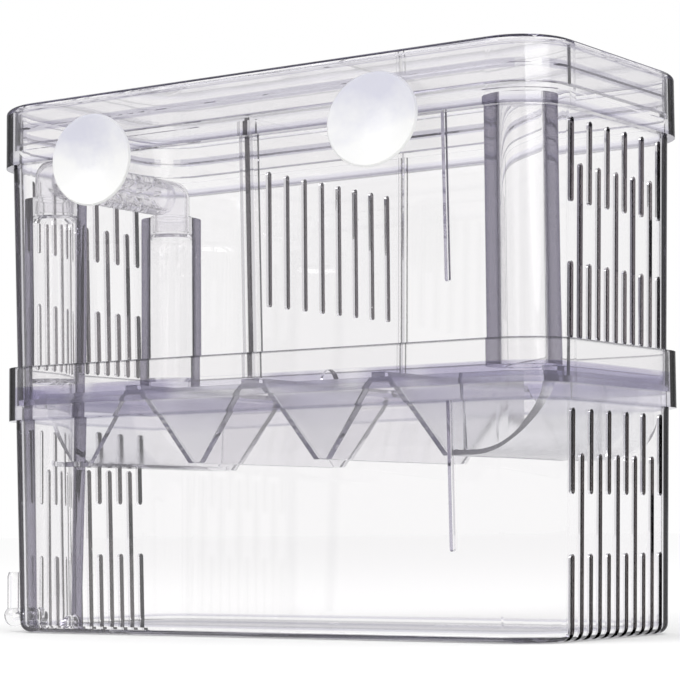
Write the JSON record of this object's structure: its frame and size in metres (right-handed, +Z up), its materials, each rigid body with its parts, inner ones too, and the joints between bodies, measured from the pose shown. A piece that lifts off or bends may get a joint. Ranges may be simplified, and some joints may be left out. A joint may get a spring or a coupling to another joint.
{
  "type": "fish breeding box",
  "caption": "Clear plastic fish breeding box: lidded upper box with slotted ends and divider over a fry box, zigzag floor grid, air-lift pipe and suction cups.",
  "frame": {"origin": "middle of the underside of the lower box", "axes": "+Z up, X along the length with the air nipple at -X, suction cups facing -Y"},
  "size_m": [0.2275, 0.1124, 0.1829],
  "materials": {
    "clear_plastic": "clear, polished, faint lavender edge",
    "frosted_plastic": "translucent, lightly frosted",
    "cup_vinyl": "milky soft vinyl",
    "grommet_rubber": "matt soft rubber"
  },
  "bodies": {
    "lower": {"lower_box": "clear_plastic", "riser_lower": "clear_plastic", "nipple_grommet": "grommet_rubber"},
    "nipple": {"air_nipple": "clear_plastic"},
    "grid": {"grid_frame": "frosted_plastic", "ridge_left": "clear_plastic", "ridge_middle": "clear_plastic", "ridge_right": "clear_plastic", "ramp_left": "frosted_plastic", "ramp_right": "frosted_plastic"},
    "upper": {"upper_box": "clear_plastic", "riser_upper": "clear_plastic", "column_back_left": "clear_plastic", "column_front_right": "clear_plastic"},
    "pipe": {"elbow_front": "clear_plastic", "cross_pipe": "clear_plastic", "elbow_back": "clear_plastic"},
    "divider": {"divider": "clear_plastic"},
    "lid": {"lid": "clear_plastic"},
    "cup_left": {"suction_cup_left": "cup_vinyl"},
    "cup_right": {"suction_cup_right": "cup_vinyl"}
  },
  "joints": [
    {"name": "upper_box_lift", "type": "slide", "parent": "lower", "child": "upper", "axis": [0, 0, 1], "range_m": [0, 0.15]},
    {"name": "grid_lift", "type": "slide", "parent": "lower", "child": "grid", "axis": [0, 0, 1], "range_m": [0, 0.06]},
    {"name": "lid_lift", "type": "slide", "parent": "upper", "child": "lid", "axis": [0, 0, 1], "range_m": [0, 0.12]},
    {"name": "divider_lift", "type": "slide", "parent": "upper", "child": "divider", "axis": [0, 0, 1], "range_m": [0, 0.09]},
    {"name": "pipe_lift", "type": "slide", "parent": "upper", "child": "pipe", "axis": [0, 0, 1], "range_m": [0, 0.04]},
    {"name": "cup_left_swivel", "type": "hinge", "parent": "upper", "child": "cup_left", "pos_m": [-0.0563, -0.04818, 0.1579], "axis": [0, -1, 0], "continuous": true},
    {"name": "cup_right_swivel", "type": "hinge", "parent": "upper", "child": "cup_right", "pos_m": [0.0563, -0.04818, 0.1579], "axis": [0, -1, 0], "continuous": true},
    {"name": "air_nipple_swivel", "type": "hinge", "parent": "lower", "child": "nipple", "pos_m": [-0.10693, -0.03382, 0.0052], "axis": [0.9781, 0.2079, 0], "range_deg": [-80, 80]}
  ],
  "couplings": [
    {"joint": "grid_lift", "follows": "upper_box_lift", "ratio": 0.4},
    {"joint": "divider_lift", "follows": "lid_lift", "ratio": 0.75},
    {"joint": "pipe_lift", "follows": "lid_lift", "ratio": 0.33}
  ]
}
